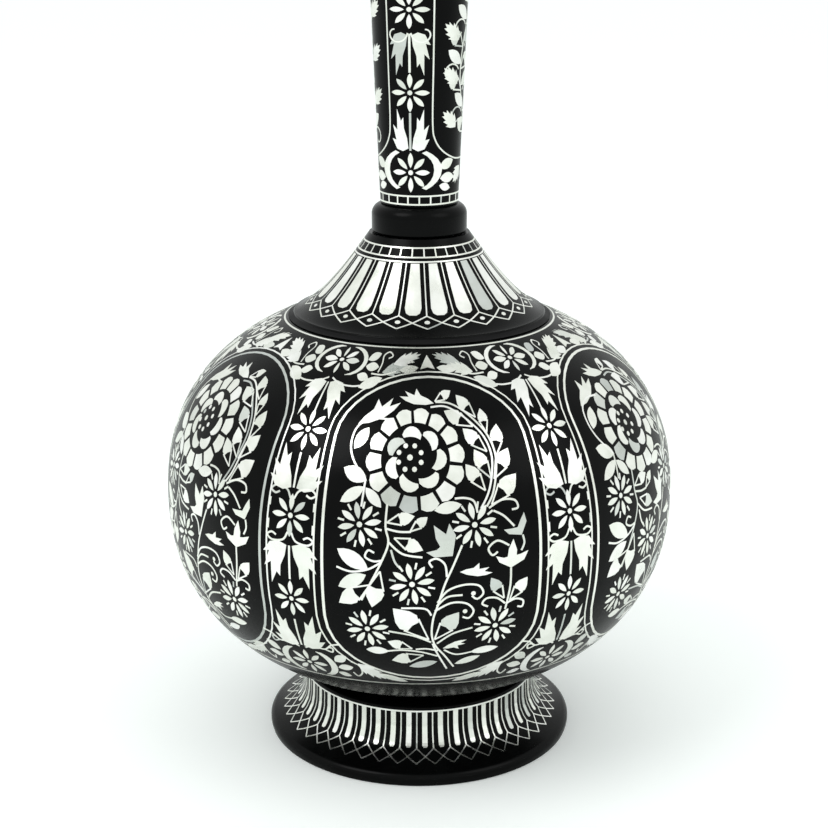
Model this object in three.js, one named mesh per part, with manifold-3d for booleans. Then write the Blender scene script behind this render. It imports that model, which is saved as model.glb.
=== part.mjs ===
// Bidri bottle vase: castings in blackened zinc alloy, located in each other, soldered, and inlaid
// with silver that lies flush in cut pockets. Millimetres, +Z up, origin in the middle of the
// foot's resting ring.

import * as THREE from 'three';
import { mergeVertices } from 'three/addons/utils/BufferGeometryUtils.js';
import Module from 'manifold-3d';

const wasm = await Module();
wasm.setup();

// Fits and fineness
const facets = 24;
const jointGap = 0.3;
const inlayGap = 0.3;
const wall = 3.5;

// Foot
const footRestRadius = 46.0;
const footRestWidth = 4.5;
const footRimRadius = 46.4;
const footRimHeight = 3.2;
const footFlareRadius = 45.2;
const footFlareRise = 0.7;
const footWaistRadius = 35.2;
const footWaistHeight = 19.2;
const footCurve = 4.2;
const footLedgeRadius = 31.5;
const footHeight = 20.4;
const footRows = 5;

// Globe, cast in two halves that meet at its widest ring
const globeRadius = 75.0;
const globeUpperReach = 58.0;
const globeLowerReach = 58.6;
const globeExponent = 2.26;
const globeRows = 7;
const globeInnerRows = 5;
const spigotRadius = 24.0;
const spigotDepth = 2.5;
const bodySeatRadius = 28.0;
const bodySeatLift = 1.19;
const seamLipHeight = 3.0;
const seamLipWidth = 1.0;
const globeTopSeatDrop = 6.0;
const globeMouthRadius = 28.0;
const fineRows = 60;

// Shoulder: a low cone on a round-edged disc
const shoulderRimRadius = 36.8;
const shoulderRimThickness = 1.3;
const shoulderTopRadius = 14.5;
const shoulderRise = 22.9;
const shoulderCurve = 1.42;
const shoulderRows = 4;
const shoulderSpigotDepth = 3.0;

// Collar, neck and mouth
const neckSpigotRadius = 10.0;
const neckSpigotDepth = 3.8;
const neckWall = 2.8;
const collarRadius = 13.75;
const collarHeight = 8.1;
const collarRound = 3.2;
const neckFootRadius = 11.2;
const neckTopRadius = 15.7;
const neckLength = 107.2;
const mouthRingRadius = 18.2;
const mouthRingHeight = 5.0;
const mouthRingRound = 2.2;
const mouthSpigotDepth = 6.0;
const mouthWaistRadius = 15.2;
const mouthLipRadius = 26.0;
const mouthHeight = 29.4;
const mouthCurve = 2.2;
const mouthRows = 5;

// Solder fillets
const solderLeg = 1.2;

// Silver inlay
const inlayDepth = 1.1;
const inlayOverlap = 1.0;
const wireWidth = 0.8;
const panelCount = 6;
const panelTurn = THREE.MathUtils.degToRad(2.7);
const panelHalfWidth = 29.5;
const panelSideTop = 36.0;
const panelSideBottom = -14.0;
const panelArchRise = 19.0;
const panelArchDrop = 22.5;
const panelArchSteps = 4;
const panelSideSteps = 5;
const petalCount = 24;
const petalTurn = THREE.MathUtils.degToRad(-3.5);
const petalStart = 7.6;
const petalLength = 17.0;
const petalTopHalfWidth = 1.2;
const petalEndHalfWidth = 2.4;
const shoulderWireAt = 5.6;
const globeWireBelowSeat = 1.1;

const blackened = { color: 0x17181a, roughness: 0.42, metalness: 0.85 };
const silver = { color: 0xdedfd6, roughness: 0.3, metalness: 1.0 };
const solder = { color: 0x2a2b2d, roughness: 0.55, metalness: 0.8 };

const vase = new THREE.Group();

function solidFrom(geometry) {
  geometry.deleteAttribute('normal');
  geometry.deleteAttribute('uv');
  const merged = mergeVertices(geometry);
  const index = merged.index.array;
  const triangles = [];
  for (let i = 0; i < index.length; i += 3) {
    const [a, b, c] = [index[i], index[i + 1], index[i + 2]];
    if (a !== b && b !== c && c !== a) triangles.push(a, b, c);
  }
  return new wasm.Manifold(new wasm.Mesh({
    numProp: 3,
    vertProperties: merged.attributes.position.array,
    triVerts: new Uint32Array(triangles),
  }));
}

function addPiece(name, solid, look) {
  const { vertProperties, triVerts } = solid.getMesh();
  const geometry = new THREE.BufferGeometry();
  geometry.setAttribute('position', new THREE.BufferAttribute(vertProperties, 3));
  geometry.setIndex(new THREE.BufferAttribute(triVerts, 1));
  geometry.computeVertexNormals();
  const mesh = new THREE.Mesh(geometry, new THREE.MeshStandardMaterial({ ...look, flatShading: true }));
  mesh.name = name;
  vase.add(mesh);
}

// Turns a profile of [radius, height] points, which starts and ends on the axis or closes on itself.
function turned(profile) {
  const points = profile.map(([r, z]) => new THREE.Vector2(r, z));
  const geometry = new THREE.LatheGeometry(points, facets);
  geometry.rotateX(Math.PI / 2);
  return solidFrom(geometry);
}

function turnedRing(profile) {
  return turned([...profile, profile[0]]);
}

// A profile measured by the length along it, so that inlay can be laid out on the surface.
function surfaceAlong(profile, zeroAt = 0) {
  const lengths = [0];
  for (let i = 1; i < profile.length; i += 1) {
    const [r0, z0] = profile[i - 1];
    const [r1, z1] = profile[i];
    lengths.push(lengths[i - 1] + Math.hypot(r1 - r0, z1 - z0));
  }
  return (along) => {
    const s = along + zeroAt;
    let i = 1;
    while (i < lengths.length - 1 && lengths[i] < s) i += 1;
    const [r0, z0] = profile[i - 1];
    const [r1, z1] = profile[i];
    const step = lengths[i] - lengths[i - 1];
    const t = (s - lengths[i - 1]) / step;
    return {
      r: r0 + (r1 - r0) * t,
      z: z0 + (z1 - z0) * t,
      outR: (z1 - z0) / step,
      outZ: (r0 - r1) / step,
    };
  };
}

function profileLength(profile) {
  let total = 0;
  for (let i = 1; i < profile.length; i += 1) {
    total += Math.hypot(profile[i][0] - profile[i - 1][0], profile[i][1] - profile[i - 1][1]);
  }
  return total;
}

// A point on a surface, moved off it by lift; turn is counted from the front, towards +X.
function placed(surface, turn, along, lift) {
  const { r, z, outR, outZ } = surface(along);
  const radius = r + outR * lift;
  return [radius * Math.sin(turn), -radius * Math.cos(turn), z + outZ * lift];
}

function meshSolid(vertices, faces) {
  const geometry = new THREE.BufferGeometry();
  geometry.setAttribute('position', new THREE.Float32BufferAttribute(vertices.flat(), 3));
  geometry.setIndex(faces.flat());
  return solidFrom(geometry);
}

// A strip of the given half width that follows a closed path of [turn, along] points.
function stripCutter(surface, path, halfWidth, depth) {
  const count = path.length;
  const vertices = [];
  const faces = [];
  for (let i = 0; i < count; i += 1) {
    const [turn, along] = path[i];
    const [turnBefore, alongBefore] = path[(i + count - 1) % count];
    const [turnAfter, alongAfter] = path[(i + 1) % count];
    const { r } = surface(along);
    const turnStep = Math.atan2(Math.sin(turnAfter - turnBefore), Math.cos(turnAfter - turnBefore));
    const across = turnStep * r;
    const up = alongAfter - alongBefore;
    const length = Math.hypot(across, up);
    const sideTurn = (-up / length) * (halfWidth / r);
    const sideAlong = (across / length) * halfWidth;
    for (const side of [-1, 1]) {
      for (const lift of [-depth, inlayOverlap]) {
        vertices.push(placed(surface, turn + side * sideTurn, along + side * sideAlong, lift));
      }
    }
    const here = 4 * i;
    const next = 4 * ((i + 1) % count);
    for (const [a, b] of [[0, 1], [1, 3], [3, 2], [2, 0]]) {
      faces.push([here + a, next + a, next + b], [here + a, next + b, here + b]);
    }
  }
  return meshSolid(vertices, faces);
}

// A patch with a counter-clockwise outline of [across, along] points, in millimetres.
function patchCutter(surface, turn, outline, depth) {
  const vertices = [];
  const count = outline.length;
  for (const lift of [-depth, inlayOverlap]) {
    for (const [across, along] of outline) {
      vertices.push(placed(surface, turn + across / surface(along).r, along, lift));
    }
  }
  const shape = outline.map(([x, y]) => new THREE.Vector2(x, y));
  const caps = THREE.ShapeUtils.triangulateShape(shape, []);
  const faces = [];
  for (const [a, b, c] of caps) {
    faces.push([a, c, b], [a + count, b + count, c + count]);
  }
  for (let i = 0; i < count; i += 1) {
    const j = (i + 1) % count;
    faces.push([i, j, j + count], [i, j + count, i + count]);
  }
  return meshSolid(vertices, faces);
}

function ringPath(along) {
  return Array.from({ length: facets }, (_, i) => [(2 * Math.PI * i) / facets, along]);
}

// Heights that follow from the sizes above
const footSeat = footHeight + jointGap;
const bodySeatJoin = footSeat + bodySeatLift;
const seatDrop = (1 - (bodySeatRadius / globeRadius) ** globeExponent) ** (1 / globeExponent);
const globeCentreHeight = bodySeatJoin + globeLowerReach * seatDrop;
const seamHeight = globeCentreHeight;
const globeTopSeatHeight = globeCentreHeight + globeUpperReach - globeTopSeatDrop;
const shoulderUnderside = globeTopSeatHeight + jointGap;
const shoulderDiscTop = shoulderUnderside + shoulderRimThickness;
const shoulderTopHeight = shoulderDiscTop + shoulderRise;
const collarBottom = shoulderTopHeight + jointGap;
const neckStep = collarBottom + collarHeight + jointGap;
const neckTopHeight = neckStep + neckLength;
const neckBottom = shoulderTopHeight - neckSpigotDepth;
const boreRadius = neckSpigotRadius + jointGap;
const neckTopBore = neckTopRadius - neckWall;
const mouthSpigotRadius = neckTopBore - jointGap;
const mouthRingBottom = neckTopHeight + jointGap;
const mouthStep = mouthRingBottom + mouthRingHeight + jointGap;
const mouthTop = mouthStep + mouthHeight;

// Globe profiles
function globePoint(radius, reach, angle) {
  const power = 2 / globeExponent;
  const r = radius * Math.cos(angle) ** power;
  const z = globeCentreHeight + Math.sign(reach) * Math.abs(reach) * Math.sin(angle) ** power;
  return [r, z];
}

function globeRadiusAt(radius, reach, height) {
  const t = Math.abs((height - globeCentreHeight) / reach);
  return radius * (1 - t ** globeExponent) ** (1 / globeExponent);
}

function globeQuarter(radius, reach, endRadius, rows) {
  const last = Math.acos((endRadius / radius) ** (globeExponent / 2));
  const points = [];
  for (let i = 1; i <= rows; i += 1) points.push(globePoint(radius, reach, (last * i) / rows));
  return points;
}

const innerRadius = globeRadius - wall;
const innerUpperReach = globeUpperReach - wall;
const innerLowerReach = globeLowerReach - wall;
const topSeatRadius = globeRadiusAt(globeRadius, globeUpperReach, globeTopSeatHeight);

function fullGlobeProfile(rows) {
  const lower = globeQuarter(globeRadius, -globeLowerReach, bodySeatRadius, rows).reverse();
  const upper = globeQuarter(globeRadius, globeUpperReach, topSeatRadius, rows);
  return [...lower, [globeRadius, globeCentreHeight], ...upper];
}

const fineGlobe = fullGlobeProfile(fineRows);
const globeLowerLength = profileLength(fineGlobe.slice(0, fineRows + 1));
const globeSurface = surfaceAlong(fineGlobe, globeLowerLength);

// Panel frame: straight sides closed by two elliptical arches
function panelPath(turn) {
  const path = [];
  const add = (x, y) => path.push([turn + x / globeRadius, y]);
  for (let i = 0; i <= 2 * panelArchSteps; i += 1) {
    const angle = (Math.PI * i) / (2 * panelArchSteps);
    add(panelHalfWidth * Math.cos(angle), panelSideTop + panelArchRise * Math.sin(angle));
  }
  const sideStep = (panelSideTop - panelSideBottom) / panelSideSteps;
  for (let i = 1; i < panelSideSteps; i += 1) add(-panelHalfWidth, panelSideTop - sideStep * i);
  for (let i = 0; i <= 2 * panelArchSteps; i += 1) {
    const angle = (Math.PI * i) / (2 * panelArchSteps);
    add(-panelHalfWidth * Math.cos(angle), panelSideBottom - panelArchDrop * Math.sin(angle));
  }
  for (let i = 1; i < panelSideSteps; i += 1) add(panelHalfWidth, panelSideBottom + sideStep * i);
  return path;
}

// Lays silver flush in a casting: the inlay is what the cutter takes from the unpocketed form,
// and the pocket is the same cutter grown by the gap all round.
const silverPieces = [];

function layWire(name, form, surface, path) {
  const inlay = stripCutter(surface, path, wireWidth / 2, inlayDepth).intersect(form);
  silverPieces.push([name, inlay]);
  return stripCutter(surface, path, wireWidth / 2 + inlayGap, inlayDepth + inlayGap);
}

// Foot
function footRadiusAt(height) {
  const low = footRimHeight + footFlareRise;
  const t = (footWaistHeight - height) / (footWaistHeight - low);
  return footWaistRadius + (footFlareRadius - footWaistRadius) * t ** footCurve;
}

function footFlank(rows) {
  const low = footRimHeight + footFlareRise;
  const points = [];
  for (let i = 0; i <= rows; i += 1) {
    const height = low + (footWaistHeight - low) * (i / rows) ** 1.6;
    points.push([footRadiusAt(height), height]);
  }
  return points;
}

function makeFoot() {
  const bore = spigotRadius + jointGap;
  const hollow = footFlank(3).map(([r, z]) => [r - wall, Math.max(z - wall / 2, 1)]);
  return turnedRing([
    [footRestRadius - footRestWidth, 0],
    [footRestRadius, 0],
    [footRimRadius, footRimHeight / 2],
    [footRimRadius, footRimHeight],
    ...footFlank(footRows),
    [footLedgeRadius, footHeight],
    [bore, footHeight],
    [bore, footHeight - wall],
    ...hollow.reverse().slice(0, 3),
  ]);
}

// Globe halves
function makeGlobe() {
  const lowerOuter = globeQuarter(globeRadius, -globeLowerReach, bodySeatRadius, globeRows);
  const lowerInner = globeQuarter(innerRadius, -innerLowerReach, 0, globeInnerRows);
  const lipOuter = innerRadius + seamLipWidth;
  const seamHalfGap = jointGap / 2;
  const lower = turned([
    [0, footHeight - spigotDepth],
    [spigotRadius, footHeight - spigotDepth],
    [spigotRadius, footSeat],
    [bodySeatRadius, footSeat],
    ...lowerOuter.reverse(),
    [globeRadius, seamHeight - seamHalfGap],
    [lipOuter, seamHeight - seamHalfGap],
    [lipOuter, seamHeight - seamHalfGap + seamLipHeight],
    [innerRadius, seamHeight - seamHalfGap + seamLipHeight],
    ...lowerInner,
  ]);
  const upperOuter = globeQuarter(globeRadius, globeUpperReach, topSeatRadius, globeRows);
  const recessTop = seamHeight + seamHalfGap + seamLipHeight;
  const recessRadius = lipOuter + jointGap;
  const innerAboveSeam = globeQuarter(innerRadius, innerUpperReach, globeMouthRadius, globeInnerRows)
    .filter(([, z]) => z > recessTop + wall);
  const upper = turnedRing([
    [recessRadius, seamHeight + seamHalfGap],
    [globeRadius, seamHeight + seamHalfGap],
    ...upperOuter,
    [globeMouthRadius, globeTopSeatHeight],
    ...innerAboveSeam.reverse(),
    [globeRadiusAt(innerRadius, innerUpperReach, recessTop), recessTop],
    [recessRadius, recessTop],
  ]);
  const form = turned([[0, bodySeatJoin], ...fullGlobeProfile(globeRows), [0, globeTopSeatHeight]]);
  const globeWireAt = profileLength(fineGlobe) - globeLowerLength - globeWireBelowSeat;
  const grooves = [layWire('globe_wire', form, globeSurface, ringPath(globeWireAt))];
  for (let i = 0; i < panelCount; i += 1) {
    const path = panelPath(panelTurn + (2 * Math.PI * i) / panelCount);
    grooves.push(layWire(`panel_frame_${i + 1}`, form, globeSurface, path));
  }
  return grooves.reduce(([low, high], groove) => [low.subtract(groove), high.subtract(groove)], [lower, upper]);
}

// Shoulder
function shoulderHeightAt(radius) {
  const t = (shoulderRimRadius - radius) / (shoulderRimRadius - shoulderTopRadius);
  return shoulderDiscTop + (shoulderTopHeight - shoulderDiscTop) * t ** shoulderCurve;
}

function shoulderFlank(rows) {
  const points = [];
  for (let i = 0; i <= rows; i += 1) {
    const radius = shoulderTopRadius + ((shoulderRimRadius - shoulderTopRadius) * i) / rows;
    points.push([radius, shoulderHeightAt(radius)]);
  }
  return points;
}

// Outline of a petal, wider and rounded at its lower end; its start is counted from the top edge.
function petalOutline(flankLength, grow) {
  const start = petalStart - grow;
  const end = petalStart + petalLength + grow;
  const top = petalTopHalfWidth + grow;
  const wide = petalEndHalfWidth + grow;
  const turnIn = end - 1.3 * petalEndHalfWidth;
  const half = [[top, start], [wide, turnIn], [0.7 * wide, end - 0.35 * petalEndHalfWidth], [0, end]];
  const mirrored = half.slice(0, 3).map(([x, y]) => [-x, y]);
  return [...half, ...mirrored.reverse()].map(([x, y]) => [x, flankLength - y]).reverse();
}

function makeShoulder() {
  const spigot = globeMouthRadius - jointGap;
  const hollow = spigot - wall;
  const flank = shoulderFlank(shoulderRows);
  const surface = surfaceAlong(shoulderFlank(fineRows).reverse());
  const flankLength = profileLength(shoulderFlank(fineRows));
  const inner = shoulderFlank(8)
    .map(([r, z]) => [r - wall * 0.75, z - wall])
    .filter(([r]) => r > boreRadius + 1 && r < hollow - 1);
  const boreBottom = shoulderTopHeight - neckSpigotDepth - jointGap;
  const form = turnedRing([
    [hollow, shoulderUnderside - shoulderSpigotDepth],
    [spigot, shoulderUnderside - shoulderSpigotDepth],
    [spigot, shoulderUnderside],
    [shoulderRimRadius, shoulderUnderside],
    ...flank.reverse(),
    [boreRadius, shoulderTopHeight],
    [boreRadius, boreBottom],
    ...inner,
    [hollow, shoulderHeightAt(hollow + wall) - wall],
  ]);
  const grooves = [layWire('shoulder_wire', form, surface, ringPath(flankLength - shoulderWireAt))];
  for (let i = 0; i < petalCount; i += 1) {
    const turn = petalTurn + (2 * Math.PI * i) / petalCount;
    const outline = petalOutline(flankLength, 0);
    const pocket = petalOutline(flankLength, inlayGap);
    const petal = patchCutter(surface, turn, outline, inlayDepth).intersect(form);
    silverPieces.push([`shoulder_petal_${i + 1}`, petal]);
    grooves.push(patchCutter(surface, turn, pocket, inlayDepth + inlayGap));
  }
  return grooves.reduce((solid, groove) => solid.subtract(groove), form);
}

// A bored ring with a rounded upper edge and a countersink below for its solder
function makeMoulding(bore, radius, bottom, height, round) {
  const top = bottom + height;
  const sink = solderLeg + jointGap;
  const quarter = [];
  for (let i = 0; i <= 3; i += 1) {
    const angle = (Math.PI * i) / 6;
    quarter.push([radius - round * (1 - Math.cos(angle)), top - round * (1 - Math.sin(angle))]);
  }
  return turnedRing([
    [bore + sink, bottom],
    [radius, bottom],
    ...quarter,
    [bore, top],
    [bore, bottom + sink],
  ]);
}

function solderRing(radius, height, legAcross, legUp) {
  return turnedRing([[radius, height], [radius + legAcross, height], [radius, height + legUp]]);
}

// Neck and mouth
function makeNeck() {
  return turnedRing([
    [neckSpigotRadius - neckWall, neckBottom],
    [neckSpigotRadius, neckBottom],
    [neckSpigotRadius, neckStep],
    [neckFootRadius, neckStep],
    [neckTopRadius, neckTopHeight],
    [neckTopBore, neckTopHeight],
    [neckTopBore, neckTopHeight - mouthSpigotDepth - jointGap],
  ]);
}

function makeMouthCup() {
  const outer = [];
  const inner = [];
  const flareHeight = mouthHeight - wall / 2;
  for (let i = 0; i <= mouthRows; i += 1) {
    const t = i / mouthRows;
    const radius = mouthWaistRadius + (mouthLipRadius - mouthWaistRadius) * t ** mouthCurve;
    outer.push([radius, mouthStep + flareHeight * t]);
    inner.push([radius - wall * (0.9 - 0.2 * t), mouthStep + (mouthHeight - wall / 2) * t]);
  }
  return turnedRing([
    [mouthSpigotRadius - neckWall, neckTopHeight - mouthSpigotDepth],
    [mouthSpigotRadius, neckTopHeight - mouthSpigotDepth],
    [mouthSpigotRadius, mouthStep],
    ...outer,
    [mouthLipRadius - wall / 4, mouthTop],
    [mouthLipRadius - wall / 2, mouthTop],
    ...inner.reverse(),
  ]);
}

addPiece('foot', makeFoot(), blackened);
const [bodyLower, bodyUpper] = makeGlobe();
addPiece('body_lower', bodyLower, blackened);
addPiece('body_upper', bodyUpper, blackened);
addPiece('shoulder', makeShoulder(), blackened);
addPiece('collar', makeMoulding(boreRadius, collarRadius, collarBottom, collarHeight, collarRound), blackened);
addPiece('neck', makeNeck(), blackened);
const mouthRing = makeMoulding(neckTopBore, mouthRingRadius, mouthRingBottom, mouthRingHeight, mouthRingRound);
addPiece('mouth_ring', mouthRing, blackened);
addPiece('mouth_cup', makeMouthCup(), blackened);

const footSolder = solderRing(bodySeatRadius + jointGap, footSeat, solderLeg, solderLeg * 0.75);
addPiece('foot_solder', footSolder, solder);
const seamSolderHeight = seamHeight + seamLipHeight;
const seamSolder = turnedRing([
  [innerRadius - 1.5 * jointGap, seamSolderHeight - solderLeg / 2],
  [innerRadius - 1.5 * jointGap, seamSolderHeight + solderLeg / 2],
  [innerRadius - 1.5 * jointGap - solderLeg, seamSolderHeight],
]);
addPiece('seam_solder', seamSolder, solder);
const shoulderSolder = solderRing(shoulderRimRadius + jointGap, shoulderUnderside, solderLeg, solderLeg);
addPiece('shoulder_solder', shoulderSolder, solder);
addPiece('collar_solder', solderRing(boreRadius, collarBottom, solderLeg, solderLeg), solder);
const mouthSolder = solderRing(mouthSpigotRadius + jointGap, mouthRingBottom, solderLeg, solderLeg);
addPiece('mouth_solder', mouthSolder, solder);

for (const [name, piece] of silverPieces) addPiece(name, piece, silver);

export default vase;
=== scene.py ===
"""Looks of a bidri bottle vase: satin black castings with burnished silver laid flush in them.

Lengths are millimetres until MM turns them to metres. Inlay is drawn flat on paper, x round the
vase and y up it, and then laid on the turned surface.
"""

import bisect
import math
import random

import bmesh
import bpy
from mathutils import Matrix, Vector


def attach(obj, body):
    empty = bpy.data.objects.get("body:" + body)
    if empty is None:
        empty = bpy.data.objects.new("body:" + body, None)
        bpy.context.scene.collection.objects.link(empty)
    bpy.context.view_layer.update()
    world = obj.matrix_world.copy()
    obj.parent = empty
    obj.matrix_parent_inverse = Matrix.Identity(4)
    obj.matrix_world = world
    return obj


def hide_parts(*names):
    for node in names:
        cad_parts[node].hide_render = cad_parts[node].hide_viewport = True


MM = 0.001
SPIN_STEPS = 180

# Inlay stands a hair above the black and reaches a little into it; cells let it bend
PROUD = 0.07
SUNK = 0.35
CELL = 3.0
BUD_WIRE = 0.45
WIRE = 0.55

# Foot
FOOT_REST = 46.0
FOOT_REST_WIDTH = 4.5
FOOT_RIM = 46.3
FOOT_FLARE = 45.2
FOOT_FLARE_HEIGHT = 3.9
FOOT_WAIST = 35.2
FOOT_WAIST_HEIGHT = 19.2
FOOT_CURVE = 4.2
FOOT_LEDGE = 31.5
FOOT_HEIGHT = 20.4
FOOT_SOCKET = 24.3
WALL = 3.5

# Globe
GLOBE = 75.0
GLOBE_CENTRE = 77.6
GLOBE_UP = 58.0
GLOBE_DOWN = 58.6
GLOBE_EXPONENT = 2.26
GLOBE_SEAT = 28.0
GLOBE_SEAT_HEIGHT = 20.7
GLOBE_SPIGOT = 24.0
GLOBE_BOTTOM = 17.9
GLOBE_TOP = 129.6
GLOBE_MOUTH = 28.0

# Shoulder
SHOULDER_RIM = 36.8
SHOULDER_UNDER = 129.9
SHOULDER_DISC = 131.2
SHOULDER_TOP_RADIUS = 14.5
SHOULDER_TOP = 154.1
SHOULDER_CURVE = 1.42
SHOULDER_SPIGOT = 27.7
SHOULDER_SPIGOT_WALL = 3.5
SHOULDER_BOTTOM = 126.9

# Collar, neck and mouth
COLLAR = 13.75
COLLAR_BOTTOM = 154.4
COLLAR_TOP = 162.5
COLLAR_ROUND = 3.2
NECK_BOTTOM = 162.8
NECK_FOOT = 11.2
NECK_TOP_RADIUS = 15.7
NECK_TOP = 270.0
NECK_SPIGOT = 10.0
NECK_WALL = 2.8
NECK_SPIGOT_BOTTOM = 150.3
NECK_SHOULDER = 162.55
MOUTH_BORE = 12.9
MOUTH_SOCKET_BOTTOM = 263.7
MOUTH_SPIGOT = 12.6
MOUTH_SPIGOT_BOTTOM = 264.0
RING_BOTTOM = 270.3
RING_TOP = 275.3
RING_RADIUS = 18.2
CUP_BOTTOM = 275.6
CUP_TOP = 305.0
CUP_WAIST = 15.2
CUP_LIP = 26.0
CUP_CURVE = 2.2
BORE = 10.3

PANELS = 6
PANEL_MIDDLE = 3.5
STRIP_TURN = PANEL_MIDDLE / GLOBE + math.pi / PANELS
FOOT_BARS = 48
PETALS = 24
PETAL_TURN = math.radians(-3.5)

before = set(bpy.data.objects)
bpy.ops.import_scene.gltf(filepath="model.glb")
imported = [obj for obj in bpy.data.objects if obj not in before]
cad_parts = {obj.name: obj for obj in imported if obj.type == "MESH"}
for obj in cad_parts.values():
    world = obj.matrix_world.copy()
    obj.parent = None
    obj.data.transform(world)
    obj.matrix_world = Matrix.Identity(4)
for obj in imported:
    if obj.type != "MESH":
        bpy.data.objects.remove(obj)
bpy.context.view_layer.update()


# Turned forms

def globe_radius(height):
    reach = GLOBE_UP if height > GLOBE_CENTRE else GLOBE_DOWN
    t = min(abs(height - GLOBE_CENTRE) / reach, 1.0)
    return GLOBE * (1 - t ** GLOBE_EXPONENT) ** (1 / GLOBE_EXPONENT)


def globe_quarter(reach, end_radius, rows, shrink=0.0):
    radius = GLOBE - shrink
    depth = abs(reach) - shrink
    last = math.acos((end_radius / radius) ** (GLOBE_EXPONENT / 2))
    points = []
    for i in range(rows + 1):
        angle = last * i / rows
        r = radius * math.cos(angle) ** (2 / GLOBE_EXPONENT)
        z = depth * math.sin(angle) ** (2 / GLOBE_EXPONENT)
        points.append((r, GLOBE_CENTRE + math.copysign(z, reach)))
    return points


def foot_flank(rows):
    points = []
    for i in range(rows + 1):
        z = FOOT_FLARE_HEIGHT + (FOOT_WAIST_HEIGHT - FOOT_FLARE_HEIGHT) * (i / rows) ** 1.6
        t = (FOOT_WAIST_HEIGHT - z) / (FOOT_WAIST_HEIGHT - FOOT_FLARE_HEIGHT)
        points.append((FOOT_WAIST + (FOOT_FLARE - FOOT_WAIST) * t ** FOOT_CURVE, z))
    return points


def shoulder_flank(rows):
    points = []
    for i in range(rows + 1):
        r = SHOULDER_RIM - 0.5 + (SHOULDER_TOP_RADIUS - SHOULDER_RIM + 0.5) * i / rows
        t = (SHOULDER_RIM - r) / (SHOULDER_RIM - SHOULDER_TOP_RADIUS)
        points.append((r, SHOULDER_DISC + (SHOULDER_TOP - SHOULDER_DISC) * t ** SHOULDER_CURVE))
    return points


def round_corner(centre_r, centre_z, radius, start, end, steps=6):
    points = []
    for i in range(steps + 1):
        angle = math.radians(start + (end - start) * i / steps)
        points.append((centre_r + radius * math.cos(angle), centre_z + radius * math.sin(angle)))
    return points


def turned(name, profile, replaced, material, closed=True):
    """Spins (radius, height) points round the axis: a closed profile, or one with both ends on it."""
    bm = bmesh.new()
    verts = [bm.verts.new((r * MM, 0, z * MM)) for r, z in profile]
    after = verts[1:] + verts[:1] if closed else verts[1:]
    edges = [bm.edges.new((a, b)) for a, b in zip(verts, after)]
    bmesh.ops.spin(bm, geom=verts + edges, cent=(0, 0, 0), axis=(0, 0, 1), angle=2 * math.pi,
                   steps=SPIN_STEPS, use_merge=True)
    bmesh.ops.remove_doubles(bm, verts=bm.verts, dist=1e-7)
    bmesh.ops.recalc_face_normals(bm, faces=bm.faces)
    for face in bm.faces:
        face.smooth = True
    return finish_piece(name, bm, replaced, material, sharp=True)


def finish_piece(name, bm, replaced, material, sharp=False):
    mesh = bpy.data.meshes.new(name)
    bm.to_mesh(mesh)
    bm.free()
    if sharp:
        mesh.set_sharp_from_angle(angle=math.radians(35))
    mesh.materials.append(material)
    piece = bpy.data.objects.new(name, mesh)
    bpy.context.scene.collection.objects.link(piece)
    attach(piece, "root")
    if replaced:
        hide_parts(*replaced)
    return piece


# Materials

def new_material(name, roughness, metallic):
    material = bpy.data.materials.new(name)
    material.use_nodes = True
    tree = material.node_tree
    shader = tree.nodes["Principled BSDF"]
    shader.inputs["Metallic"].default_value = metallic
    shader.inputs["Roughness"].default_value = roughness
    return material, tree, shader


def worked_metal_group():
    """Fine tool marks and cloudy patches: a mask and a height from object coordinates."""
    group = bpy.data.node_groups.new("worked_metal", "ShaderNodeTree")
    group.interface.new_socket("Cloud Scale", in_out="INPUT", socket_type="NodeSocketFloat")
    group.interface.new_socket("Mark Scale", in_out="INPUT", socket_type="NodeSocketFloat")
    group.interface.new_socket("Cloud", in_out="OUTPUT", socket_type="NodeSocketFloat")
    group.interface.new_socket("Marks", in_out="OUTPUT", socket_type="NodeSocketFloat")
    inside = group.nodes.new("NodeGroupInput")
    outside = group.nodes.new("NodeGroupOutput")
    coords = group.nodes.new("ShaderNodeTexCoord")
    for output, scale, detail in (("Cloud", "Cloud Scale", 4.0), ("Marks", "Mark Scale", 6.0)):
        noise = group.nodes.new("ShaderNodeTexNoise")
        noise.inputs["Detail"].default_value = detail
        group.links.new(coords.outputs["Object"], noise.inputs["Vector"])
        group.links.new(inside.outputs[scale], noise.inputs["Scale"])
        group.links.new(noise.outputs["Fac"], outside.inputs[output])
    return group


WORKED = worked_metal_group()


def worked(tree, cloud_scale, mark_scale):
    node = tree.nodes.new("ShaderNodeGroup")
    node.node_tree = WORKED
    node.inputs["Cloud Scale"].default_value = cloud_scale
    node.inputs["Mark Scale"].default_value = mark_scale
    return node


def ramp(tree, source, stops):
    node = tree.nodes.new("ShaderNodeValToRGB")
    tree.links.new(source, node.inputs["Fac"])
    elements = node.color_ramp.elements
    while len(elements) < len(stops):
        elements.new(0.5)
    for element, (position, colour) in zip(elements, stops):
        element.position = position
        element.color = (*colour, 1.0)
    return node.outputs["Color"]


def bumped(tree, shader, height, distance):
    bump = tree.nodes.new("ShaderNodeBump")
    bump.inputs["Distance"].default_value = distance
    bump.inputs["Strength"].default_value = 0.35
    tree.links.new(height, bump.inputs["Height"])
    tree.links.new(bump.outputs["Normal"], shader.inputs["Normal"])


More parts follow.
